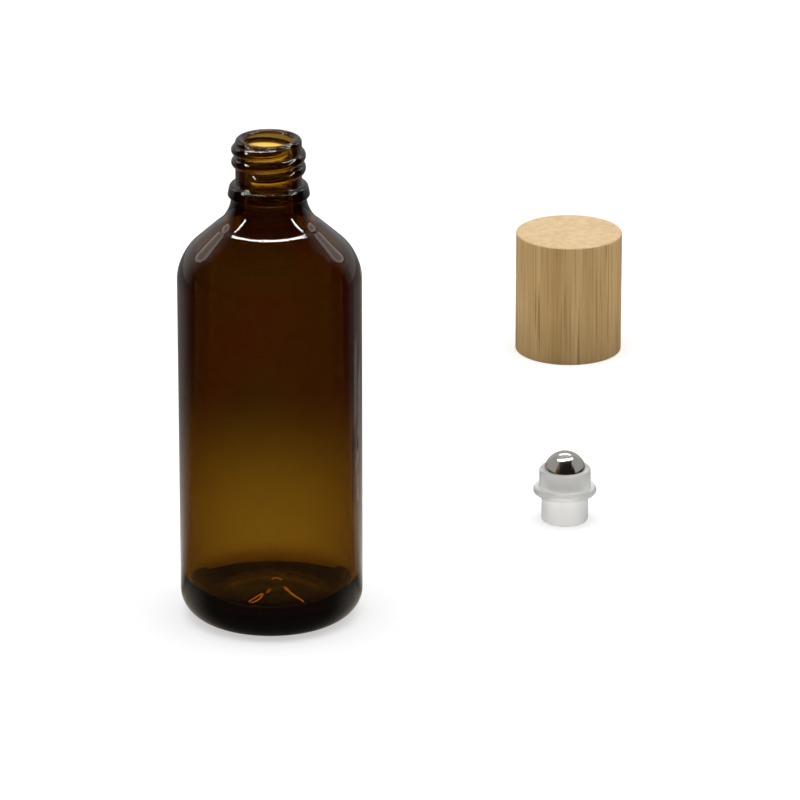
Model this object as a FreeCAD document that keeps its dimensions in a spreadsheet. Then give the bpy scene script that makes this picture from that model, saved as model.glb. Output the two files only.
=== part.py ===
import FreeCAD
import Part
import Sketcher
import math
import os

# Roll on bottle: an amber glass bottle with a screw neck, a pressed-in roller
# housing with a steel ball, and a turned bamboo cap with a threaded liner.
# The cap and the roller stand beside the bottle, taken off. Millimetres, +Z up,
# origin at the centre of the bottle's base.

DRIVING_SIZES = [
    # glass body
    ("bottle_height", 120.0, "base to rim"),
    ("body_radius", 22.0, "outside of the straight body"),
    ("glass_wall", 2.4, "wall of the body and shoulder"),
    ("base_glass", 4.6, "thickness of the base"),
    ("push_up", 1.2, "hollow under the middle of the base"),
    ("bearing_width", 2.0, "flat ring it stands on, inside the heel"),
    ("heel_radius", 6.5, "rounding from base to body"),
    ("inner_heel_radius", 5.0, "rounding inside the base"),
    ("shoulder_radius", 11.0, "rounding from body to shoulder"),
    ("shoulder_angle", 39.0, "slope of the shoulder in degrees"),
    ("neck_fillet", 8.0, "hollow rounding from shoulder to neck"),
    ("inner_neck_fillet", 6.0, "the same rounding inside"),
    # glass neck
    ("lower_neck_radius", 9.0, "neck under the bead"),
    ("lower_neck_length", 4.7, "bead to where the shoulder line meets the neck"),
    ("bead_radius", 9.85, "widest part of the transfer bead"),
    ("bead_top_radius", 9.24, "upper edge of the bead"),
    ("bead_height", 2.95, "bead, top to underside"),
    ("bead_round", 0.5, "edges of the bead"),
    ("finish_depth", 11.2, "rim to the top of the bead"),
    ("neck_radius", 7.9, "neck between the threads"),
    ("bore_radius", 5.8, "inside of the neck"),
    ("rim_round", 0.7, "edges of the rim"),
    # screw thread of the neck
    ("thread_pitch", 3.0, "rise of one turn"),
    ("thread_turns", 1.9, "number of turns"),
    ("thread_ridge", 1.4, "radius of the round ridge"),
    ("thread_crest", 8.85, "outside of the ridge"),
    ("thread_end_ball", 1.43, "rounded ends of the ridge"),
    ("thread_entry", 2.25, "rim down to the ridge's upper end"),
    ("thread_start", -80.0, "angle of the ridge's lower end in degrees"),
    # roller housing
    ("plug_bite", 0.05, "plug over neck bore, on the radius"),
    ("plug_length", 7.3, "plug below the flange"),
    ("plug_wall", 1.15, "wall of the hollow plug"),
    ("plug_tip_round", 0.8, "lead-in of the plug"),
    ("plug_hollow", 6.6, "depth of the hollow in the plug"),
    ("feed_radius", 3.6, "feed hole under the ball"),
    ("flange_thickness", 1.6, "flange that sits on the rim"),
    ("flange_round", 0.55, "edges of the flange"),
    ("collar_height", 4.9, "collar above the flange"),
    ("collar_wall", 1.1, "collar round the ball's middle"),
    ("lip_round", 0.5, "outer edge of the lip"),
    ("lip_cover", 1.0, "lip above the ball's middle"),
    ("ball_radius", 5.3, "steel ball"),
    ("ball_clearance", 0.05, "ball to socket"),
    ("cut_overrun", 1.0, "how far a cut runs past its face"),
    # cap
    ("cap_radius", 14.25, "outside of the bamboo"),
    ("cap_height", 33.2, "bamboo, foot to top"),
    ("cap_top_round", 0.5, "upper edge"),
    ("cap_foot_round", 0.35, "lower edge"),
    ("cap_bead_gap", 0.5, "closed cap above the bead"),
    ("glue_gap", 0.05, "liner to bamboo"),
    ("liner_wall", 1.2, "wall of the liner"),
    ("liner_top", 1.2, "closed end of the liner"),
    ("thread_clearance", 0.25, "liner bore to the neck's thread"),
    ("liner_ridge", 0.75, "radius of the liner's round ridge"),
    ("liner_ridge_crest", 8.3, "inside of the liner's ridge"),
    ("liner_ridge_end_ball", 0.77, "rounded ends of the liner's ridge"),
    ("liner_ridge_low", 2.2, "foot to the liner's ridge"),
    ("liner_ridge_turns", 1.5, "number of turns in the liner"),
    ("seal_thickness", 1.5, "soft disc in the liner"),
    ("seal_gap", 0.08, "disc to liner"),
    # where the taken-off pieces stand
    ("insert_x", 72.4, "roller, right of the bottle"),
    ("insert_y", 60.6, "roller, behind the bottle"),
    ("cap_x", 76.5, "cap, right of the bottle"),
    ("cap_y", 188.5, "cap, behind the bottle"),
]

FULL_TURN = 360
QUARTER_TURN = 90

doc = FreeCAD.newDocument("roll_on_bottle")
sheet = doc.addObject("Spreadsheet::Sheet", "Sizes")
for row, (alias, value, meaning) in enumerate(DRIVING_SIZES, start=1):
    sheet.set("A%d" % row, meaning)
    sheet.set("B%d" % row, str(value))
    sheet.setAlias("B%d" % row, alias)
doc.recompute()


def origin_plane(body, role):
    return next(plane for plane in body.Origin.OriginFeatures if plane.Role == role)


def bind(thing, **expressions):
    """Bind properties to the sheet; a double underscore stands for a dot."""
    for name, expression in expressions.items():
        thing.setExpression(name.replace("__", "."), expression)


def stand_at(thing, x="0", y="0", z="0"):
    bind(thing, Placement__Base__x=x, Placement__Base__y=y, Placement__Base__z=z)


def pin_point(sketch, geometry, point, across, up):
    """Fix a sketch point at two expressions."""
    for kind, expression in (("DistanceX", across), ("DistanceY", up)):
        value = float(sketch.evalExpression(expression))
        index = sketch.addConstraint(Sketcher.Constraint(kind, -1, 1, geometry, point, value))
        sketch.setExpression("Constraints[%d]" % index, expression)


def rounded_outline(body, name, corners):
    """A closed sketch on the XZ plane from corners (across, up, rounding or None)."""
    sketch = body.newObject("Sketcher::SketchObject", name)
    sketch.AttachmentSupport = [(origin_plane(body, "XZ_Plane"), "")]
    sketch.MapMode = "FlatFace"
    count = len(corners)
    spots = []
    for across, up, _ in corners:
        at = [float(sketch.evalExpression(expression)) for expression in (across, up)]
        spots.append(FreeCAD.Vector(at[0], at[1], 0))

    # each corner is a point, or an arc between its two tangent points
    entries, exits, arcs = [], [], []
    for i, (_, _, rounding) in enumerate(corners):
        back = (spots[i - 1] - spots[i]).normalize()
        ahead = (spots[(i + 1) % count] - spots[i]).normalize()
        if rounding is None:
            entries.append(spots[i])
            exits.append(spots[i])
            arcs.append(None)
            continue
        radius = float(sketch.evalExpression(rounding))
        half_angle = back.getAngle(ahead) / 2
        tangent = radius / math.tan(half_angle)
        entries.append(spots[i] + back * tangent)
        exits.append(spots[i] + ahead * tangent)
        centre = spots[i] + (back + ahead).normalize() * (radius / math.sin(half_angle))
        left_turn = back.cross(ahead).z < 0
        first, last = (entries[i], exits[i]) if left_turn else (exits[i], entries[i])
        angles = [math.atan2(p.y - centre.y, p.x - centre.x) for p in (first, last)]
        circle = Part.Circle(centre, FreeCAD.Vector(0, 0, 1), radius)
        arc = sketch.addGeometry(Part.ArcOfCircle(circle, angles[0], angles[1]), False)
        arcs.append((arc, 1 if left_turn else 2, 2 if left_turn else 1))
        index = sketch.addConstraint(Sketcher.Constraint("Radius", arc, radius))
        sketch.setExpression("Constraints[%d]" % index, rounding)
    lines = []
    for i in range(count):
        edge = Part.LineSegment(exits[i], entries[(i + 1) % count])
        lines.append(sketch.addGeometry(edge, False))

    for i, (across, up, _) in enumerate(corners):
        before, after = lines[i - 1], lines[i]
        if arcs[i] is None:
            sketch.addConstraint(Sketcher.Constraint("Coincident", before, 2, after, 1))
            pin_point(sketch, after, 1, across, up)
            continue
        arc, entry, leave = arcs[i]
        sketch.addConstraint(Sketcher.Constraint("Tangent", before, 2, arc, entry))
        sketch.addConstraint(Sketcher.Constraint("Tangent", arc, leave, after, 1))
        corner = sketch.addGeometry(Part.Point(spots[i]), True)
        pin_point(sketch, corner, 1, across, up)
        sketch.addConstraint(Sketcher.Constraint("PointOnObject", corner, 1, before))
        sketch.addConstraint(Sketcher.Constraint("PointOnObject", corner, 1, after))
    return sketch


def turned_body(label, corners):
    """A body of revolution about Z from its half section."""
    body = doc.addObject("PartDesign::Body", label)
    sketch = rounded_outline(body, label + "_section", corners)
    turning = body.newObject("PartDesign::Revolution", label + "_turning")
    turning.Profile = sketch
    turning.ReferenceAxis = (sketch, ["V_Axis"])
    turning.Angle = FULL_TURN
    doc.recompute()
    return body


def with_ridge(label, blank, path, ridge, end_ball, low, start, turns):
    """A blank with a round screw ridge on its wall and a ball at each end of it."""
    helix = doc.addObject("Part::Helix", label + "_path")
    bind(helix, Radius=path, Pitch="Sizes.thread_pitch", Height="Sizes.thread_pitch * %s" % turns)
    bind(helix, Placement__Rotation__Angle=start)
    stand_at(helix, z=low)
    doc.recompute()
    section = doc.addObject("Part::Circle", label + "_section")
    section.AttachmentSupport = [(helix, "Edge1")]
    section.MapMode = "NormalToEdge"
    bind(section, Radius=ridge)
    tube = doc.addObject("Part::Sweep", label + "_ridge")
    tube.Sections = [section]
    tube.Spine = (helix, ["Edge1"])
    tube.Solid = True
    tube.Frenet = True

    balls = []
    finish = "(%s + %d * %s)" % (start, FULL_TURN, turns)
    top = "(%s + Sizes.thread_pitch * %s)" % (low, turns)
    for end, angle, height in (("low", start, low), ("high", finish, top)):
        ball = doc.addObject("Part::Sphere", label + "_end_" + end)
        bind(ball, Radius=end_ball)
        stand_at(ball, "%s * cos(%s)" % (path, angle), "%s * sin(%s)" % (path, angle), height)
        balls.append(ball)
    threaded = doc.addObject("Part::MultiFuse", label)
    threaded.Shapes = [blank, tube] + balls
    doc.recompute()
    return threaded


# Glass bottle: blown and pressed in one piece, corners from the underside's
# middle up the outside, over the rim and down the inside.
bead_top = "(Sizes.bottle_height - Sizes.finish_depth)"
bead_foot = "(%s - Sizes.bead_height)" % bead_top
neck_corner = "(%s - Sizes.lower_neck_length)" % bead_foot
slope = "tan(Sizes.shoulder_angle)"
shoulder_corner = "(%s - (Sizes.body_radius - Sizes.lower_neck_radius) * %s)" % (neck_corner, slope)
inside = "(Sizes.body_radius - Sizes.glass_wall)"
half_bend = "tan((%d - Sizes.shoulder_angle) / 2)" % QUARTER_TURN
inner_shoulder = "(%s - Sizes.glass_wall * %s)" % (shoulder_corner, half_bend)
inner_neck = "(%s + (%s - Sizes.bore_radius) * %s)" % (inner_shoulder, inside, slope)
bottle_blank = turned_body("bottle_blank", [
    ("0", "Sizes.push_up", None),
    ("Sizes.body_radius - Sizes.heel_radius - Sizes.bearing_width", "0", None),
    ("Sizes.body_radius", "0", "Sizes.heel_radius"),
    ("Sizes.body_radius", shoulder_corner, "Sizes.shoulder_radius"),
    ("Sizes.lower_neck_radius", neck_corner, "Sizes.neck_fillet"),
    ("Sizes.lower_neck_radius", bead_foot, None),
    ("Sizes.bead_radius", bead_foot, "Sizes.bead_round"),
    ("Sizes.bead_top_radius", bead_top, "Sizes.bead_round"),
    ("Sizes.neck_radius", bead_top, None),
    ("Sizes.neck_radius", "Sizes.bottle_height", "Sizes.rim_round"),
    ("Sizes.bore_radius", "Sizes.bottle_height", "Sizes.rim_round"),
    ("Sizes.bore_radius", inner_neck, "Sizes.inner_neck_fillet"),
    (inside, inner_shoulder, "(Sizes.shoulder_radius - Sizes.glass_wall)"),
    (inside, "Sizes.base_glass", "Sizes.inner_heel_radius"),
    ("0", "Sizes.base_glass", None),
])
thread_low = "(Sizes.thread_entry + Sizes.thread_pitch * Sizes.thread_turns)"
thread_foot = "(Sizes.bottle_height - %s)" % thread_low
bottle = with_ridge("glass_bottle", bottle_blank, "(Sizes.thread_crest - Sizes.thread_ridge)",
                    "Sizes.thread_ridge", "Sizes.thread_end_ball", thread_foot,
                    "Sizes.thread_start", "Sizes.thread_turns")

# Roller housing: a translucent moulding with a hollow plug, a flange and a
# collar that holds the ball. It stands on its plug.
plug = "(Sizes.bore_radius + Sizes.plug_bite)"
plug_inside = "(%s - Sizes.plug_wall)" % plug
flange_top = "(Sizes.plug_length + Sizes.flange_thickness)"
lip = "(%s + Sizes.collar_height)" % flange_top
socket = "(Sizes.ball_radius + Sizes.ball_clearance)"
collar = "(%s + Sizes.collar_wall)" % socket
ball_middle = "(%s - Sizes.lip_cover)" % lip
housing = turned_body("roller_housing", [
    (plug_inside, "0", None),
    (plug, "0", "Sizes.plug_tip_round"),
    (plug, "Sizes.plug_length", None),
    ("Sizes.neck_radius", "Sizes.plug_length", "Sizes.flange_round"),
    ("Sizes.neck_radius", flange_top, "Sizes.flange_round"),
    (collar, flange_top, None),
    (collar, lip, "Sizes.lip_round"),
    ("0", lip, None),
    ("0", "Sizes.plug_hollow", None),
    (plug_inside, "Sizes.plug_hollow", None),
])
ball_seat = housing.newObject("PartDesign::SubtractiveSphere", "ball_seat")
bind(ball_seat, Radius=socket)
stand_at(ball_seat, z=ball_middle)
doc.recompute()
feed = housing.newObject("PartDesign::SubtractiveCylinder", "feed_hole")
bind(feed, Radius="Sizes.feed_radius", Height="Sizes.flange_thickness + Sizes.collar_height")
stand_at(feed, z="Sizes.plug_hollow - Sizes.cut_overrun")
stand_at(housing, "Sizes.insert_x", "Sizes.insert_y")

# Roller ball: a polished steel ball, free in the collar's socket.
ball = doc.addObject("Part::Sphere", "roller_ball")
bind(ball, Radius="Sizes.ball_radius")
stand_at(ball, "Sizes.insert_x", "Sizes.insert_y", ball_middle)

# Cap: a turned bamboo shell glued over a threaded plastic liner. The liner is
# as deep as the roller needs when its foot closes above the bead.
closed_rim = "(Sizes.finish_depth - Sizes.cap_bead_gap)"
roller_stand = "(%s + Sizes.ball_radius - Sizes.lip_cover - Sizes.plug_length)" % lip
seal_foot = "(%s + %s)" % (closed_rim, roller_stand)
liner_ceiling = "(%s + Sizes.seal_thickness + Sizes.seal_gap)" % seal_foot
liner_height = "(%s + Sizes.liner_top)" % liner_ceiling
liner_bore = "(Sizes.thread_crest + Sizes.thread_clearance)"
liner_outside = "(%s + Sizes.liner_wall)" % liner_bore
shell_bore = "(%s + Sizes.glue_gap)" % liner_outside
shell_depth = "(%s + Sizes.glue_gap)" % liner_height
shell = turned_body("cap_shell", [
    (shell_bore, "0", None),
    ("Sizes.cap_radius", "0", "Sizes.cap_foot_round"),
    ("Sizes.cap_radius", "Sizes.cap_height", "Sizes.cap_top_round"),
    ("0", "Sizes.cap_height", None),
    ("0", shell_depth, None),
    (shell_bore, shell_depth, None),
])
liner_blank = turned_body("liner_blank", [
    (liner_bore, "0", None),
    (liner_outside, "0", None),
    (liner_outside, liner_height, None),
    ("0", liner_height, None),
    ("0", liner_ceiling, None),
    (liner_bore, liner_ceiling, None),
])
# the liner's ridge runs half a pitch under the neck's ridge when the cap is closed
ridge_rise = "(%s - %s + Sizes.liner_ridge_low + Sizes.thread_pitch / 2)" % (thread_low, closed_rim)
ridge_start = "(Sizes.thread_start + %d * %s / Sizes.thread_pitch)" % (FULL_TURN, ridge_rise)
liner = with_ridge("cap_liner", liner_blank, "(Sizes.liner_ridge_crest + Sizes.liner_ridge)",
                   "Sizes.liner_ridge", "Sizes.liner_ridge_end_ball", "Sizes.liner_ridge_low",
                   ridge_start, "Sizes.liner_ridge_turns")

# Cap seal: a soft disc under the liner's closed end, which presses on the ball.
seal = doc.addObject("Part::Cylinder", "cap_seal")
bind(seal, Radius="%s - Sizes.seal_gap" % liner_bore, Height="Sizes.seal_thickness")
stand_at(seal, "Sizes.cap_x", "Sizes.cap_y", seal_foot)
for piece in (shell, liner):
    stand_at(piece, "Sizes.cap_x", "Sizes.cap_y")

doc.recompute()

pieces = [bottle, housing, ball, shell, liner, seal]
for thing in doc.Objects:
    if "Invalid" in thing.State or "Error" in thing.State:
        raise RuntimeError("%s failed: %s" % (thing.Label, thing.State))
for piece in pieces:
    if piece.Shape.isNull() or not piece.Shape.isValid():
        raise RuntimeError("%s has no valid shape" % piece.Label)
    if len(piece.Shape.Solids) != 1:
        raise RuntimeError("%s is not one solid" % piece.Label)

os.makedirs("parts", exist_ok=True)
for piece in pieces:
    piece.Shape.exportStep("parts/%s.step" % piece.Label)
    box = piece.Shape.BoundBox
    print("%-16s volume %9.1f  z %.2f to %.2f  width %.2f" % (
        piece.Label, piece.Shape.Volume, box.ZMin, box.ZMax, box.XLength))
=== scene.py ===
import bmesh
import bpy
import math
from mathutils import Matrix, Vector, noise


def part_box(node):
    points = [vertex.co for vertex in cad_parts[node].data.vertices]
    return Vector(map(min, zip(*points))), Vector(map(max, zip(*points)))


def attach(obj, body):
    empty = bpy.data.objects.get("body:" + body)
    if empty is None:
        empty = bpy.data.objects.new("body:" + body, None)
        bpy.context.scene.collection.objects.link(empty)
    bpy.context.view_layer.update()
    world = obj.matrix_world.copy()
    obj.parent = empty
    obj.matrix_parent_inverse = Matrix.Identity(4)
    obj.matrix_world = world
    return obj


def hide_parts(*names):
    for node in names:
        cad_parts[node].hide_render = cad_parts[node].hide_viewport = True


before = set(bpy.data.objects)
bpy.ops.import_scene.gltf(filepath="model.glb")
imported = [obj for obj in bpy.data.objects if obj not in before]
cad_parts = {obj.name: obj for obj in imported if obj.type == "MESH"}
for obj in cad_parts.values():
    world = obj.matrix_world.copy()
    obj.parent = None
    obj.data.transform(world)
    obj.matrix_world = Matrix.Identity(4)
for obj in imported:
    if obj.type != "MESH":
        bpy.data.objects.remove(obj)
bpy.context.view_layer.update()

# Glass bottle: one piece of amber glass, blown and pressed in a two-part mould.
# It has a thick base with a pushed-up middle, a sloping shoulder, a transfer
# bead and a screw neck with one right-hand round thread.
MM = 0.001
bottle_low, bottle_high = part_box("glass_bottle")
body_radius = (bottle_high.x - bottle_low.x) / 2
rim = bottle_high.z
glass_wall = 2.4 * MM
base_glass = 5.2 * MM
base_crown = 0.5 * MM
push_up = 1.2 * MM
bearing_radius = 13.5 * MM
heel_round = 6.5 * MM
inner_heel_round = 6.0 * MM
shoulder_round = 11.0 * MM
upper_slope = math.radians(35)
lower_slope = math.radians(42)
inner_slope = math.radians(39)
crease_radius = 12.9 * MM
crease_round = 2.0 * MM
neck_fillet = 8.0 * MM
inner_neck_fillet = 6.0 * MM
lower_neck_radius = 9.0 * MM
bead_radius = 9.85 * MM
bead_top_radius = 9.24 * MM
bead_round = 0.5 * MM
bead_top_round = 1.0 * MM
bead_corner_fillet = 0.35 * MM
bead_top_fillet = 0.45 * MM
neck_radius = 7.9 * MM
bore_radius = 5.8 * MM
rim_round = 1.0 * MM
finish_height = 11.2 * MM
bead_height = 2.95 * MM
lower_neck_height = 4.7 * MM
inner_neck_drop = 0.49 * MM
inner_radius = body_radius - glass_wall
bead_top = rim - finish_height
bead_foot = bead_top - bead_height
neck_corner = bead_foot - lower_neck_height
crease_height = neck_corner - (crease_radius - lower_neck_radius) * math.tan(upper_slope)
shoulder_corner = crease_height - (body_radius - crease_radius) * math.tan(lower_slope)
inner_neck_corner = neck_corner - inner_neck_drop
inner_shoulder_corner = inner_neck_corner - (inner_radius - bore_radius) * math.tan(inner_slope)


def dome_round(reach, rise):
    """Rounding that turns a level line and a line down to the dome's edge into one arc."""
    return reach / 2 / math.tan(math.atan2(rise, reach / 2) / 2)


def turned_section(corners, arc_steps=10, longest_edge=1.0 * MM):
    """The wire half section of a turned piece, from corners (radius, height, rounding)."""
    section = bmesh.new()
    spots = [section.verts.new((radius, 0, height)) for radius, height, rounding in corners]
    for here, ahead in zip(spots, spots[1:]):
        section.edges.new((here, ahead))
    if corners[0][0] > 0:
        section.edges.new((spots[-1], spots[0]))
    for spot, (radius, height, rounding) in zip(spots, corners):
        if rounding:
            back, ahead = [edge.other_vert(spot).co - spot.co for edge in spot.link_edges]
            wanted = rounding / math.tan(back.angle(ahead) / 2)
            tangent = min(wanted, 0.999 * min(back.length, ahead.length))
            bmesh.ops.bevel(section, geom=[spot], offset=tangent, offset_type="OFFSET",
                            segments=arc_steps, profile=0.5, affect="VERTICES", material=-1)
    for edge in section.edges[:]:
        cuts = math.ceil(edge.calc_length() / longest_edge) - 1
        if cuts > 0:
            bmesh.ops.subdivide_edges(section, edges=[edge], cuts=cuts)
    return section


def spin_section(section, steps, weld_gap=0.001 * MM):
    """Turn a half section into a closed mesh about the Z axis."""
    bmesh.ops.spin(section, geom=section.verts[:] + section.edges[:], cent=(0, 0, 0), axis=(0, 0, 1),
                   dvec=(0, 0, 0), angle=2 * math.pi, steps=steps, use_merge=True)
    bmesh.ops.remove_doubles(section, verts=section.verts[:], dist=weld_gap)
    bmesh.ops.recalc_face_normals(section, faces=section.faces[:])


def finished_piece(name, shape, crease=math.radians(32)):
    """An object from a bmesh, shaded smooth with crisp edges."""
    mesh = bpy.data.meshes.new(name)
    shape.to_mesh(mesh)
    shape.free()
    mesh.shade_smooth()
    mesh.set_sharp_from_angle(angle=crease)
    piece = bpy.data.objects.new(name, mesh)
    bpy.context.scene.collection.objects.link(piece)
    return piece


glass = turned_section([
    (0, push_up, None),
    (bearing_radius / 2, push_up, dome_round(bearing_radius, push_up)),
    (bearing_radius, 0, None),
    (body_radius, 0, heel_round),
    (body_radius, shoulder_corner, shoulder_round),
    (crease_radius, crease_height, crease_round),
    (lower_neck_radius, neck_corner, neck_fillet),
    (lower_neck_radius, bead_foot, bead_corner_fillet),
    (bead_radius, bead_foot, bead_round),
    (bead_top_radius, bead_top, bead_top_round),
    (neck_radius, bead_top, bead_top_fillet),
    (neck_radius, rim, rim_round),
    (bore_radius, rim, rim_round),
    (bore_radius, inner_neck_corner, inner_neck_fillet),
    (inner_radius, inner_shoulder_corner, shoulder_round - glass_wall),
    (inner_radius, base_glass, inner_heel_round),
    (bearing_radius, base_glass, None),
    (bearing_radius / 2, base_glass + base_crown, dome_round(bearing_radius, base_crown)),
    (0, base_glass + base_crown, None),
])
thread_step = 0.125 * MM
neck_slack = 0.01 * MM
for edge in glass.edges[:]:
    on_neck = all(vert.co.x > neck_radius - neck_slack and vert.co.z > bead_top for vert in edge.verts)
    cuts = math.ceil(edge.calc_length() / thread_step) - 1
    if on_neck and cuts > 0:
        bmesh.ops.subdivide_edges(glass, edges=[edge], cuts=cuts)
spin_section(glass, steps=208)

thread_pitch = 3.0 * MM
thread_turns = 2.2
thread_ridge = 1.4 * MM
thread_crest = 8.85 * MM
thread_path = thread_crest - thread_ridge
thread_start = math.radians(-125)
thread_drop = 8.325 * MM
thread_low = rim - thread_drop
thread_run_out = math.radians(40)
thread_blend = 0.12 * MM
thread_above_bead = 0.2 * MM
thread_into_rim = 0.3 * MM


def ridge_radius(angle, height):
    """How far out the thread's round ridge stands at a place on the neck, or 0 off the ridge."""
    sweep = 2 * math.pi * thread_turns
    farthest = 0
    for turn in range(-1, math.ceil(thread_turns) + 1):
        along = angle - thread_start + 2 * math.pi * turn
        nearest = min(max(along, 0), sweep)
        sink = max(0, 1 - min(nearest, sweep - nearest) / thread_run_out)
        path = thread_path - sink ** 2 * (thread_path + thread_ridge - neck_radius)
        off_end = (along - nearest) * thread_path
        off_middle = height - thread_low - thread_pitch * nearest / (2 * math.pi)
        room = thread_ridge ** 2 - off_end ** 2 - off_middle ** 2
        if room > 0:
            farthest = max(farthest, path + math.sqrt(room))
    return farthest


for vert in glass.verts:
    radius = math.hypot(vert.co.x, vert.co.y)
    if vert.co.z > bead_top + thread_above_bead and radius > neck_radius - thread_into_rim:
        ridge = ridge_radius(math.atan2(vert.co.y, vert.co.x), vert.co.z)
        if ridge > 0:
            gap = ridge - radius
            lift = (gap + math.hypot(gap, thread_blend)) / 2
            vert.co.x *= (radius + lift) / radius
            vert.co.y *= (radius + lift) / radius

seam_angle = math.radians(-24)
seam_lift = 0.04 * MM
seam_spread = math.radians(0.9)
base_ripple = 0.12 * MM
ripple_length = 6.0 * MM
for vert in glass.verts:
    radius = math.hypot(vert.co.x, vert.co.y)
    if radius > inner_radius and vert.co.z < shoulder_corner:
        off_seam = math.remainder(math.atan2(vert.co.y, vert.co.x) - seam_angle, math.pi)
        scale = 1 + seam_lift * math.exp(-(off_seam / seam_spread) ** 2) / radius
        vert.co.x *= scale
        vert.co.y *= scale
    elif radius < inner_radius - inner_heel_round and abs(vert.co.z - base_glass) < 2 * base_crown:
        vert.co.z += base_ripple * noise.noise(vert.co / ripple_length)

bottle = finished_piece("bottle_glass", glass)


def new_material(name):
    """A material with its shader, and a function that adds a linked node to it."""
    material = bpy.data.materials.new(name)
    material.use_nodes = True
    tree = material.node_tree
    shader = tree.nodes["Principled BSDF"]

    def add(kind, settings=None, **inputs):
        node = tree.nodes.new(kind)
        for attribute, value in (settings or {}).items():
            setattr(node, attribute, value)
        for socket_name, value in inputs.items():
            key = socket_name.replace("_", " ").strip()
            socket = node.inputs[int(key) if key.isdigit() else key]
            if isinstance(value, bpy.types.NodeSocket):
                tree.links.new(value, socket)
            else:
                socket.default_value = value
        return node

    def plug(source, target):
        tree.links.new(source, target)

    return material, shader, add, plug


amber, amber_shader, add, plug = new_material("amber_glass")
amber_shader.inputs["Base Color"].default_value = (1, 1, 1, 1)
amber_shader.inputs["Transmission Weight"].default_value = 1
amber_shader.inputs["IOR"].default_value = 1.51
amber_shader.inputs["Roughness"].default_value = 0.012
place = add("ShaderNodeTexCoord")
waves = add("ShaderNodeTexNoise", Vector=place.outputs["Object"], Scale=110.0, Detail=1.5)
wave_depth = 0.15 * MM
bump = add("ShaderNodeBump", Strength=0.25, Distance=wave_depth, Height=waves.outputs[0])
plug(bump.outputs["Normal"], amber_shader.inputs["Normal"])
path = add("ShaderNodeLightPath")
clear = add("ShaderNodeBsdfTransparent")
through = add("ShaderNodeMixShader", _0=path.outputs["Is Shadow Ray"], _1=amber_shader.outputs[0],
              _2=clear.outputs[0])
absorb = add("ShaderNodeVolumeAbsorption", Color=(0.667, 0.531, 0.0, 1), Density=1170.0)
output = amber.node_tree.nodes["Material Output"]
plug(through.outputs[0], output.inputs["Surface"])
plug(absorb.outputs[0], output.inputs["Volume"])
bottle.data.materials.append(amber)
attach(bottle, "bottle")
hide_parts("glass_bottle")

# Roller housing: a natural polypropylene moulding, milky and see-through. Its
# hollow plug is pressed into the neck, its flange sits on the rim, and its
# collar snaps over the ball.
housing_low, housing_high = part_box("roller_housing")
insert_axis = (housing_low + housing_high) / 2
press_fit = 0.05 * MM
plug_wall = 1.15 * MM
plug_radius = bore_radius + press_fit
plug_inside = plug_radius - plug_wall
plug_tip_round = 0.8 * MM
plug_mouth_round = 0.2 * MM
plug_root_fillet = 0.25 * MM
hollow_fillet = 0.4 * MM
plug_length = 7.3 * MM
plug_hollow = 6.6 * MM
flange_radius = (housing_high.x - housing_low.x) / 2
flange_thickness = 1.6 * MM
flange_top = plug_length + flange_thickness
flange_round = 0.7 * MM
lip = housing_high.z
lip_round = 0.5 * MM
lip_above_ball_middle = 1.0 * MM
ball_radius = 5.3 * MM
ball_clearance = 0.05 * MM
collar_wall = 1.1 * MM
collar_root_fillet = 0.3 * MM
socket_radius = ball_radius + ball_clearance
collar_radius = socket_radius + collar_wall
ball_middle = lip - lip_above_ball_middle
feed_radius = 3.6 * MM
socket_steps = 14
lip_angle = math.asin((lip - ball_middle) / socket_radius)
feed_angle = -math.acos(feed_radius / socket_radius)
socket_arc = []
for step in range(socket_steps + 1):
    angle = lip_angle + (feed_angle - lip_angle) * step / socket_steps
    arc_height = ball_middle + socket_radius * math.sin(angle)
    socket_arc.append((socket_radius * math.cos(angle), arc_height, None))
moulding = turned_section([
    (plug_inside, 0, plug_mouth_round),
    (plug_radius, 0, plug_tip_round),
    (plug_radius, plug_length, plug_root_fillet),
    (flange_radius, plug_length, flange_round),
    (flange_radius, flange_top, flange_round),
    (collar_radius, flange_top, collar_root_fillet),
    (collar_radius, lip, lip_round),
    *socket_arc,
    (feed_radius, plug_hollow, None),
    (plug_inside, plug_hollow, hollow_fillet),
], longest_edge=0.6 * MM)
spin_section(moulding, steps=128)
bmesh.ops.translate(moulding, verts=moulding.verts[:], vec=(insert_axis.x, insert_axis.y, 0))
housing = finished_piece("housing_moulding", moulding)

milky, milky_shader, add, plug = new_material("milky_plastic")
milky_shader.inputs["Base Color"].default_value = (0.985, 0.985, 0.965, 1)
milky_shader.inputs["Transmission Weight"].default_value = 0.92
milky_shader.inputs["IOR"].default_value = 1.42
milky_shader.inputs["Subsurface Weight"].default_value = 1.0
milky_shader.inputs["Subsurface Radius"].default_value = (1, 1, 0.9)
scatter_depth = 2.5 * MM
milky_shader.inputs["Subsurface Scale"].default_value = scatter_depth
place = add("ShaderNodeTexCoord")
cloud = add("ShaderNodeTexNoise", Vector=place.outputs["Object"], Scale=420.0, Detail=3.0)
haze = add("ShaderNodeMapRange", Value=cloud.outputs[0], To_Min=0.40, To_Max=0.50)
plug(haze.outputs[0], milky_shader.inputs["Roughness"])
skin_depth = 0.05 * MM
skin = add("ShaderNodeBump", Strength=0.15, Distance=skin_depth, Height=cloud.outputs[0])
plug(skin.outputs["Normal"], milky_shader.inputs["Normal"])
housing.data.materials.append(milky)
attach(housing, "insert")
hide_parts("roller_housing")

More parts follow.
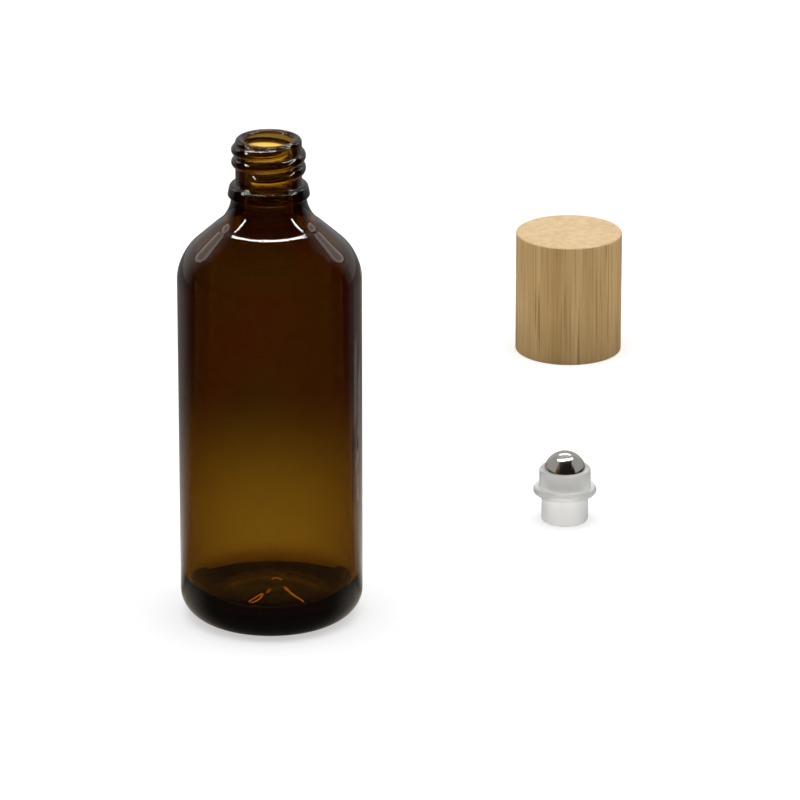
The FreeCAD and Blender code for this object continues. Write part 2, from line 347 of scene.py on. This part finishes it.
# Roller ball: a ground and polished stainless steel ball, loose in the socket
# of the housing, where it turns any way and carries the liquid out.
ball_low, ball_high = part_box("roller_ball")
ball_centre = (ball_low + ball_high) / 2
sphere = bmesh.new()
bmesh.ops.create_icosphere(sphere, subdivisions=6, radius=(ball_high.z - ball_low.z) / 2)
bmesh.ops.translate(sphere, verts=sphere.verts[:], vec=ball_centre)
ball = finished_piece("steel_ball", sphere)

steel, steel_shader, add, plug = new_material("polished_steel")
steel_shader.inputs["Metallic"].default_value = 1
steel_shader.inputs["Base Color"].default_value = (0.70, 0.69, 0.67, 1)
place = add("ShaderNodeTexCoord")
scratches = add("ShaderNodeTexNoise", Vector=place.outputs["Object"], Scale=2600.0, Detail=4.0)
polish = add("ShaderNodeMapRange", Value=scratches.outputs[0], To_Min=0.10, To_Max=0.17)
plug(polish.outputs[0], steel_shader.inputs["Roughness"])
ball.data.materials.append(steel)
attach(ball, "ball")
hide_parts("roller_ball")

# Cap shell: turned from a block of laminated bamboo with the fibres upright,
# sanded and left bare, with crisp edges and a blind bore for the liner.
shell_low, shell_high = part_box("cap_shell")
cap_axis = (shell_low + shell_high) / 2
cap_radius = (shell_high.x - shell_low.x) / 2
cap_height = shell_high.z
shell_bore = 10.35 * MM
shell_depth = 24.33 * MM
cap_top_round = 0.5 * MM
cap_foot_round = 0.35 * MM
shell_mouth_round = 0.2 * MM
turning = turned_section([
    (0, cap_height, None),
    (cap_radius, cap_height, cap_top_round),
    (cap_radius, 0, cap_foot_round),
    (shell_bore, 0, shell_mouth_round),
    (shell_bore, shell_depth, None),
    (0, shell_depth, None),
], arc_steps=5)
spin_section(turning, steps=160)
bmesh.ops.translate(turning, verts=turning.verts[:], vec=(cap_axis.x, cap_axis.y, 0))
shell = finished_piece("bamboo_shell", turning)

bamboo, bamboo_shader, add, plug = new_material("sanded_bamboo")
bamboo_shader.inputs["Specular IOR Level"].default_value = 0.3
place = add("ShaderNodeTexCoord")
along_fibres = add("ShaderNodeMapping", Vector=place.outputs["Object"],
                   Location=(-cap_axis.x, -cap_axis.y, 0), Scale=(1, 1, 0.02))
short_fibres = add("ShaderNodeMapping", Vector=place.outputs["Object"],
                   Location=(-cap_axis.x, -cap_axis.y, 0), Scale=(1, 1, 0.06))
bands = add("ShaderNodeTexNoise", Vector=along_fibres.outputs[0], Scale=150.0, Detail=2.0)
patches = add("ShaderNodeTexNoise", Vector=short_fibres.outputs[0], Scale=300.0, Detail=1.0)
streaks = add("ShaderNodeTexNoise", Vector=along_fibres.outputs[0], Scale=1900.0, Detail=1.0)
fine_grain = add("ShaderNodeTexNoise", Vector=along_fibres.outputs[0], Scale=2300.0, Detail=3.0)
apart = add("ShaderNodeSeparateXYZ", Vector=place.outputs["Object"])
side_end = cap_height - 0.45 * MM
top_start = cap_height - 0.25 * MM
side = add("ShaderNodeMapRange", Value=apart.outputs["Z"], From_Min=side_end, From_Max=top_start,
           To_Min=1.0, To_Max=0.0)
ground = add("ShaderNodeValToRGB", Fac=bands.outputs[0])
ground.color_ramp.elements[0].position = 0.3
ground.color_ramp.elements[0].color = (0.52, 0.320, 0.115, 1)
ground.color_ramp.elements[1].position = 0.7
ground.color_ramp.elements[1].color = (0.70, 0.475, 0.215, 1)
end_grain = add("ShaderNodeMix", {"data_type": "RGBA"})
plug(side.outputs[0], end_grain.inputs["Factor"])
mottle = add("ShaderNodeTexNoise", Vector=along_fibres.outputs[0], Scale=420.0, Detail=3.0)
end_tone = add("ShaderNodeValToRGB", Fac=mottle.outputs[0])
end_tone.color_ramp.elements[0].position = 0.35
end_tone.color_ramp.elements[0].color = (0.60, 0.430, 0.225, 1)
end_tone.color_ramp.elements[1].position = 0.65
end_tone.color_ramp.elements[1].color = (0.70, 0.505, 0.300, 1)
plug(end_tone.outputs[0], end_grain.inputs[6])
plug(ground.outputs[0], end_grain.inputs[7])
patch_mask = add("ShaderNodeMapRange", Value=patches.outputs[0], From_Min=0.36, From_Max=0.60)
streak_mask = add("ShaderNodeMapRange", Value=streaks.outputs[0], From_Min=0.53, From_Max=0.68)
dark_share = add("ShaderNodeMath", {"operation": "MULTIPLY"}, _0=patch_mask.outputs[0],
                 _1=streak_mask.outputs[0])
side_share = add("ShaderNodeMath", {"operation": "MULTIPLY"}, _0=dark_share.outputs[0],
                 _1=side.outputs[0])
fibres = add("ShaderNodeMix", {"data_type": "RGBA"})
plug(side_share.outputs[0], fibres.inputs["Factor"])
plug(end_grain.outputs[2], fibres.inputs[6])
fibres.inputs[7].default_value = (0.38, 0.215, 0.075, 1)
grain_tone = add("ShaderNodeMapRange", Value=fine_grain.outputs[0], From_Min=0.3, From_Max=0.7,
                 To_Min=0.88, To_Max=1.10)
# Painted shade: the bamboo's colour is darkened towards the foot, to about three quarters at the floor,
# fading out 14 mm up.
foot_shade_height = 14 * MM
painted_foot_shade = add("ShaderNodeMapRange", Value=apart.outputs["Z"], From_Min=0.0, From_Max=foot_shade_height,
                To_Min=0.76)
tone = add("ShaderNodeMath", {"operation": "MULTIPLY"}, _0=grain_tone.outputs[0],
           _1=painted_foot_shade.outputs[0])
toned = add("ShaderNodeVectorMath", {"operation": "SCALE"}, _0=fibres.outputs[2], Scale=tone.outputs[0])
plug(toned.outputs[0], bamboo_shader.inputs["Base Color"])
sheen = add("ShaderNodeMapRange", Value=fine_grain.outputs[0], To_Min=0.38, To_Max=0.55)
plug(sheen.outputs[0], bamboo_shader.inputs["Roughness"])
grain_depth = 0.06 * MM
relief = add("ShaderNodeBump", Strength=0.2, Distance=grain_depth, Height=fine_grain.outputs[0])
plug(relief.outputs["Normal"], bamboo_shader.inputs["Normal"])
shell.data.materials.append(bamboo)
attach(shell, "cap")
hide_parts("cap_shell")

# Cap liner: an injection-moulded white plastic inner cap with the thread that
# grips the neck, glued into the bamboo.
liner, liner_shader, add, plug = new_material("liner_plastic")
liner_shader.inputs["Base Color"].default_value = (0.86, 0.86, 0.84, 1)
place = add("ShaderNodeTexCoord")
grain = add("ShaderNodeTexNoise", Vector=place.outputs["Object"], Scale=900.0, Detail=2.0)
gloss = add("ShaderNodeMapRange", Value=grain.outputs[0], To_Min=0.3, To_Max=0.45)
plug(gloss.outputs[0], liner_shader.inputs["Roughness"])
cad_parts["cap_liner"].data.materials.clear()
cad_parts["cap_liner"].data.materials.append(liner)

# Cap seal: a punched disc of closed-cell foam, held in the liner's end, which
# presses on the ball when the cap is on.
foam, foam_shader, add, plug = new_material("seal_foam")
foam_shader.inputs["Roughness"].default_value = 0.85
place = add("ShaderNodeTexCoord")
cells = add("ShaderNodeTexVoronoi", Vector=place.outputs["Object"], Scale=3200.0)
tone = add("ShaderNodeValToRGB", Fac=cells.outputs["Distance"])
tone.color_ramp.elements[0].color = (0.80, 0.80, 0.78, 1)
tone.color_ramp.elements[1].color = (0.70, 0.70, 0.68, 1)
plug(tone.outputs[0], foam_shader.inputs["Base Color"])
pore_depth = 0.1 * MM
pores = add("ShaderNodeBump", Strength=0.4, Distance=pore_depth, Height=cells.outputs["Distance"])
plug(pores.outputs["Normal"], foam_shader.inputs["Normal"])
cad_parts["cap_seal"].data.materials.clear()
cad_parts["cap_seal"].data.materials.append(foam)

# Studio: a white paper floor inside a small light tent with grey walls and an open
# dark front. Light tubes hang over the set, and dark and light cards stand round the
# glass and the ball. Walls, tubes and cards are there for glass and metal only.
RAY_KINDS = ("camera", "diffuse", "glossy", "transmission", "volume_scatter", "shadow")
floor_radius = 4.0
floor_glow = 0.50
disc = bmesh.new()
bmesh.ops.create_circle(disc, cap_ends=True, segments=64, radius=floor_radius)
floor = finished_piece("floor", disc)
paper, paper_shader, add, plug = new_material("white_paper")
paper_shader.inputs["Base Color"].default_value = (0.55, 0.55, 0.55, 1)
paper_shader.inputs["Roughness"].default_value = 0.9
paper_shader.inputs["Specular IOR Level"].default_value = 0
path = add("ShaderNodeLightPath")
seen = add("ShaderNodeMath", {"operation": "ADD"}, _0=path.outputs["Is Camera Ray"],
           _1=path.outputs["Is Glossy Ray"])
seen_all = add("ShaderNodeMath", {"operation": "ADD", "use_clamp": True}, _0=seen.outputs[0],
               _1=path.outputs["Is Transmission Ray"])
glow = add("ShaderNodeMath", {"operation": "MULTIPLY"}, _0=seen_all.outputs[0], _1=floor_glow)
paper_shader.inputs["Emission Color"].default_value = (1, 1, 1, 1)
plug(glow.outputs[0], paper_shader.inputs["Emission Strength"])
floor.data.materials.append(paper)


def studio_card(card, seen_by, glow=(0, 0, 0)):
    """Make an object a glowing card that only some kinds of ray see."""
    for kind in RAY_KINDS:
        setattr(card, "visible_" + kind, kind in seen_by)
    cloth, cloth_shader, add, plug = new_material(card.name + "_cloth")
    cloth_shader.inputs["Base Color"].default_value = (0, 0, 0, 1)
    cloth_shader.inputs["Specular IOR Level"].default_value = 0
    cloth_shader.inputs["Emission Strength"].default_value = 1
    cloth_shader.inputs["Emission Color"].default_value = (*glow, 1)
    cloth.cycles.emission_sampling = "NONE"
    card.data.materials.append(cloth)
    return cloth_shader, add, plug


def flat_card(name, corners):
    """A flat card from its corners."""
    sheet = bmesh.new()
    bmesh.ops.contextual_create(sheet, geom=[sheet.verts.new(corner) for corner in corners])
    return finished_piece(name, sheet)


def tent_cloth(card, front, back, near_gain):
    """Cloth that is dark in front of the bottle, lit behind it, and brighter near its foot."""
    cloth_shader, add, plug = studio_card(card, ["glossy"])
    place = add("ShaderNodeTexCoord")
    round_set = add("ShaderNodeTexGradient", {"gradient_type": "RADIAL"}, Vector=place.outputs["Object"])
    cloth = add("ShaderNodeValToRGB", Fac=round_set.outputs["Fac"])
    ramp = cloth.color_ramp
    ramp.elements[0].position = 0.55
    ramp.elements[0].color = (*front, 1)
    ramp.elements[1].position = 0.95
    ramp.elements[1].color = (*front, 1)
    ramp.elements.new(0.615).color = (*back, 1)
    ramp.elements.new(0.885).color = (*back, 1)
    spread = add("ShaderNodeMapping", Vector=place.outputs["Object"], Scale=(5, 5, 5))
    near = add("ShaderNodeTexGradient", {"gradient_type": "QUADRATIC_SPHERE"}, Vector=spread.outputs[0])
    gain = add("ShaderNodeMapRange", Value=near.outputs["Fac"], To_Min=1.0, To_Max=1.0 + near_gain)
    plug(cloth.outputs[0], cloth_shader.inputs["Emission Color"])
    plug(gain.outputs[0], cloth_shader.inputs["Emission Strength"])


tent_width = 1.5
tent_depth = 1.8
tent_height = 0.95
wall_lift = 0.5 * MM
cloth_lift = 0.3 * MM
tent_box = bmesh.new()
bmesh.ops.create_cube(tent_box, size=1)
bmesh.ops.scale(tent_box, verts=tent_box.verts[:], vec=(tent_width, tent_depth, tent_height))
bmesh.ops.translate(tent_box, verts=tent_box.verts[:], vec=(0, 0, tent_height / 2 + wall_lift))
underside = [face for face in tent_box.faces if face.normal.z < -0.5]
bmesh.ops.delete(tent_box, geom=underside, context="FACES_ONLY")
tent_cloth(finished_piece("tent_walls", tent_box), (0.012, 0.011, 0.010), (0.46, 0.45, 0.43), 0)
tent_floor = bmesh.new()
bmesh.ops.create_grid(tent_floor, x_segments=1, y_segments=1, size=tent_depth)
bmesh.ops.translate(tent_floor, verts=tent_floor.verts[:], vec=(0, 0, cloth_lift))
tent_cloth(finished_piece("tent_floor", tent_floor), (0.020, 0.017, 0.014), (0.21, 0.20, 0.185), 4)

# Dark flag: a glowing card behind the bottle that only rays through the glass see. Its dark
# reddish-brown glow is painted shade in the upper half of the glass. It fades out towards the floor, and
# the pale band along its top edge is painted light seen through the glass.
flag_side = 0.150
flag_foot = 0.001
flag_full = 0.042
flag_pale_foot = 0.0985
flag_pale_top = 0.1045
flag_top = 0.106
flag_back = 0.045
flag_shader, add, plug = studio_card(flat_card("dark_flag", [
    (-flag_side, flag_back, flag_foot), (flag_side, flag_back, flag_foot),
    (flag_side, flag_back, flag_top), (-flag_side, flag_back, flag_top)]), ["transmission"])
place = add("ShaderNodeTexCoord")
apart = add("ShaderNodeSeparateXYZ", Vector=place.outputs["Object"])
fade = add("ShaderNodeMapRange", {"interpolation_type": "SMOOTHSTEP"}, Value=apart.outputs["Z"],
           From_Min=flag_foot, From_Max=flag_full)
plug(fade.outputs[0], flag_shader.inputs["Alpha"])
lift = add("ShaderNodeMapRange", {"interpolation_type": "SMOOTHSTEP"}, Value=apart.outputs["Z"],
           From_Min=flag_pale_foot, From_Max=flag_pale_top)
flag_glow_colour = add("ShaderNodeMix", {"data_type": "RGBA"})
plug(lift.outputs[0], flag_glow_colour.inputs["Factor"])
flag_mottle = add("ShaderNodeTexNoise", Vector=place.outputs["Object"], Scale=38.0, Detail=1.0)
flag_shade_colour = add("ShaderNodeValToRGB", Fac=flag_mottle.outputs[0])
flag_shade_colour.color_ramp.elements[0].position = 0.35
flag_shade_colour.color_ramp.elements[0].color = (0.20, 0.035, 0.020, 1)
flag_shade_colour.color_ramp.elements[1].position = 0.65
flag_shade_colour.color_ramp.elements[1].color = (0.14, 0.075, 0.035, 1)
plug(flag_shade_colour.outputs[0], flag_glow_colour.inputs[6])
flag_glow_colour.inputs[7].default_value = (0.50, 0.42, 0.30, 1)
plug(flag_glow_colour.outputs[2], flag_shader.inputs["Emission Color"])
neck_light_side = 0.013
neck_light_foot = flag_top + 0.001
neck_light_top = flag_top + 0.020
studio_card(flat_card("neck_light", [
    (-neck_light_side, flag_back, neck_light_foot), (neck_light_side, flag_back, neck_light_foot),
    (neck_light_side, flag_back, neck_light_top), (-neck_light_side, flag_back, neck_light_top)]),
    ["transmission"], (3.6, 3.6, 3.6))

shade_reach = 26 * MM
shade_lift = 0.05 * MM
base_shade = bmesh.new()
bmesh.ops.create_circle(base_shade, cap_ends=True, segments=64, radius=shade_reach)
bmesh.ops.translate(base_shade, verts=base_shade.verts[:], vec=(0, 0, shade_lift))
studio_card(finished_piece("base_shade", base_shade), ["transmission"], (0.07, 0.06, 0.06))

heel_reach = 50 * MM
heel_lift = 0.4 * MM
heel_front = -0.020
heel_front_full = -0.003
heel_back_full = 0.004
heel_back = 0.016
heel_light = bmesh.new()
bmesh.ops.create_circle(heel_light, cap_ends=True, segments=64, radius=heel_reach)
bmesh.ops.translate(heel_light, verts=heel_light.verts[:], vec=(0, 0, heel_lift))
heel_shader, add, plug = studio_card(finished_piece("heel_light", heel_light), ["glossy"],
                                     (0.50, 0.45, 0.37))
place = add("ShaderNodeTexCoord")
apart = add("ShaderNodeSeparateXYZ", Vector=place.outputs["Object"])
from_front = add("ShaderNodeMapRange", {"interpolation_type": "SMOOTHSTEP"}, Value=apart.outputs["Y"],
                 From_Min=heel_front, From_Max=heel_front_full)
from_back = add("ShaderNodeMapRange", {"interpolation_type": "SMOOTHSTEP"}, Value=apart.outputs["Y"],
                From_Min=heel_back, From_Max=heel_back_full)
beside = add("ShaderNodeMath", {"operation": "MULTIPLY"}, _0=from_front.outputs[0],
             _1=from_back.outputs[0])
shrink = add("ShaderNodeMapping", Vector=place.outputs["Object"],
             Scale=(1 / heel_reach, 1 / heel_reach, 0))
inward = add("ShaderNodeTexGradient", {"gradient_type": "SPHERICAL"}, Vector=shrink.outputs[0])
near_glass = add("ShaderNodeMapRange", {"interpolation_type": "SMOOTHSTEP"}, Value=inward.outputs["Fac"],
                 From_Max=0.5)
glow_share = add("ShaderNodeMath", {"operation": "MULTIPLY"}, _0=beside.outputs[0],
                 _1=near_glass.outputs[0])
plug(glow_share.outputs[0], heel_shader.inputs["Alpha"])

shoulder_flag_side = 0.040
shoulder_flag_outline = [(-0.0005, 0.1290), (-0.0385, 0.0980), (-0.0344, 0.0899), (0.0036, 0.1216)]
ball_card_side = 0.014
ball_card_front = ball_centre.y - 0.012
ball_card_back = ball_centre.y + 0.014
ball_card_foot = 0.015
ball_card_top = 0.037
for name, side in (("left", -1), ("right", 1)):
    flag_corners = [(side * shoulder_flag_side, y, z) for y, z in shoulder_flag_outline]
    studio_card(flat_card("shoulder_flag_" + name, flag_corners), ["glossy"], (0.02, 0.018, 0.015))
    card_x = ball_centre.x + side * ball_card_side
    studio_card(flat_card("ball_card_" + name, [
        (card_x, ball_card_front, ball_card_foot), (card_x, ball_card_back, ball_card_foot),
        (card_x, ball_card_back, ball_card_top), (card_x, ball_card_front, ball_card_top)]),
        ["glossy"], (0.38, 0.37, 0.35))


def light_tube(name, points, thickness, glow, seen_by=("glossy",)):
    """A bent glowing tube along points, which shows in glass and metal."""
    line = bpy.data.curves.new(name, "CURVE")
    line.dimensions = "3D"
    line.bevel_depth = thickness / 2
    line.bevel_resolution = 6
    spline = line.splines.new("NURBS")
    spline.points.add(len(points) - 1)
    for control, point in zip(spline.points, points):
        control.co = (*point, 1)
    spline.use_endpoint_u = True
    spline.order_u = 3
    tube = bpy.data.objects.new(name, line)
    bpy.context.scene.collection.objects.link(tube)
    studio_card(tube, seen_by, glow)


tube_thickness = 0.06
tube_glow = (22, 22, 22)
back_glow = (12, 12, 12)
top_half = [(0.585, 0.345, 0.845), (0.509, 0.298, 0.855), (0.384, 0.146, 0.850), (0.194, 0.011, 0.850),
            (0, -0.032, 0.850)]
other_half = [(-x, y, z) for x, y, z in reversed(top_half[:-1])]
light_tube("top_tube", top_half + other_half, tube_thickness, tube_glow)
back_line = [(-0.22, 0.72, 0.78), (0.07, 0.72, 0.78), (0.36, 0.72, 0.78)]
light_tube("back_tube", back_line, tube_thickness, back_glow)
side_line = [(0.60, -0.241, 0.326), (0.60, -0.122, 0.444), (0.60, 0.020, 0.557), (0.60, 0.180, 0.680)]
soft_box_radius = 0.17
soft_box_glow = 1.7
soft_box_place = (0.589, 0.483, 0.477)
soft_box_aim = (0.014, -0.010, 0.092)
mirror = Vector((1, 1, 1))
for name, side in (("left", -1), ("right", 1)):
    mirror.x = side
    tube_line = [(side * x, y, z) for x, y, z in side_line]
    light_tube("side_tube_" + name, tube_line, tube_thickness, tube_glow)
    sheet = bmesh.new()
    bmesh.ops.create_circle(sheet, cap_ends=True, segments=64, radius=soft_box_radius)
    soft_box = finished_piece("soft_box_" + name, sheet)
    soft_box.location = mirror * Vector(soft_box_place)
    towards = mirror * Vector(soft_box_aim) - soft_box.location
    soft_box.rotation_euler = towards.to_track_quat("Z", "Y").to_euler()
    box_shader, add, plug = studio_card(soft_box, ["glossy"])
    place = add("ShaderNodeTexCoord")
    shrink = add("ShaderNodeMapping", Vector=place.outputs["Object"],
                 Scale=(1 / soft_box_radius, 1 / soft_box_radius, 1))
    inward = add("ShaderNodeTexGradient", {"gradient_type": "SPHERICAL"}, Vector=shrink.outputs[0])
    diffuser = add("ShaderNodeValToRGB", Fac=inward.outputs["Fac"])
    diffuser.color_ramp.interpolation = "EASE"
    diffuser.color_ramp.elements[0].color = (0, 0, 0, 1)
    diffuser.color_ramp.elements[1].position = 0.7
    diffuser.color_ramp.elements[1].color = (0.50, 0.49, 0.46, 1)
    diffuser.color_ramp.elements.new(0.32).color = (1, 0.98, 0.94, 1)
    plug(diffuser.outputs[0], box_shader.inputs["Emission Color"])
    box_shader.inputs["Emission Strength"].default_value = soft_box_glow

# Glowing lines on the floor under the base, seen only through the glass: painted glints of light caught
# in the glass base.
glint_lift = 0.3 * MM
glint_thickness = 0.36 * MM
loop_thickness = 0.32 * MM
glint_glow = (12, 12, 12)
glint_line = [(-0.0015, 0.006), (0.0002, 0.0143), (0.0037, 0.0075), (0.0079, -0.0069)]
loop_line = [(-0.0040, 0.0), (-0.0024, 0.0062), (-0.0026, 0.0), (-0.0044, -0.0072), (-0.0060, -0.0062),
             (-0.0040, 0.0)]
light_tube("base_glint", [(x, y, glint_lift) for x, y in glint_line], glint_thickness, glint_glow,
           ("transmission",))
light_tube("base_loop", [(x, y, glint_lift) for x, y in loop_line], loop_thickness, glint_glow,
           ("transmission",))

world = bpy.data.worlds.new("studio")
bpy.context.scene.world = world
world.use_nodes = True
sky = world.node_tree
path = sky.nodes.new("ShaderNodeLightPath")
seen = sky.nodes.new("ShaderNodeMath")
seen.operation = "ADD"
seen_all = sky.nodes.new("ShaderNodeMath")
seen_all.operation = "ADD"
seen_all.use_clamp = True
level = sky.nodes.new("ShaderNodeMapRange")
level.inputs["To Min"].default_value = 0.35
level.inputs["To Max"].default_value = 1.0
sky.links.new(path.outputs["Is Camera Ray"], seen.inputs[0])
sky.links.new(path.outputs["Is Glossy Ray"], seen.inputs[1])
sky.links.new(seen.outputs[0], seen_all.inputs[0])
sky.links.new(path.outputs["Is Transmission Ray"], seen_all.inputs[1])
sky.links.new(seen_all.outputs[0], level.inputs["Value"])
sky.links.new(level.outputs[0], sky.nodes["Background"].inputs["Strength"])
sky.nodes["Background"].inputs["Color"].default_value = (1, 1, 1, 1)


def soft_lamp(name, centre, aim, size, watts):
    """A large square lamp facing a point, too soft to show in glass or metal."""
    lamp = bpy.data.lights.new(name, "AREA")
    lamp.shape = "RECTANGLE"
    lamp.size, lamp.size_y = size
    lamp.energy = watts
    holder = bpy.data.objects.new(name, lamp)
    holder.location = centre
    holder.rotation_euler = (Vector(aim) - Vector(centre)).to_track_quat("-Z", "Y").to_euler()
    holder.visible_glossy = False
    holder.visible_transmission = False
    bpy.context.scene.collection.objects.link(holder)


set_middle = Vector((0.04, 0.08, 0))
overhead_place = set_middle + Vector((0, 0, 1.1))
overhead_size = (1.4, 1.4)
overhead_watts = 13.5
soft_lamp("overhead", overhead_place, set_middle, overhead_size, overhead_watts)
panel_aim = set_middle + Vector((0, 0, 0.03))
panel_size = (0.8, 0.7)
panel_watts = 2.0
for name, side in (("left", -1), ("right", 1)):
    panel_place = set_middle + Vector((side * 1.0, 0.1, 0.45))
    soft_lamp("panel_" + name, panel_place, panel_aim, panel_size, panel_watts)

# Camera: a long lens about a metre and a half from the set and well above it, which
# gives the photograph's angle and framing.
frame_pixels = 800
focal_pixels = 6232
camera = bpy.data.cameras.new("camera")
camera.sensor_width = 36.0
camera.lens = camera.sensor_width * focal_pixels / frame_pixels
viewer = bpy.data.objects.new("camera", camera)
camera_tilt = 20.19
viewer.location = (0.03102, -1.4, 0.569)
viewer.rotation_euler = (math.radians(90 - camera_tilt), 0, 0)
bpy.context.scene.collection.objects.link(viewer)
bpy.context.scene.camera = viewer
bpy.context.scene.view_settings.view_transform = "Standard"
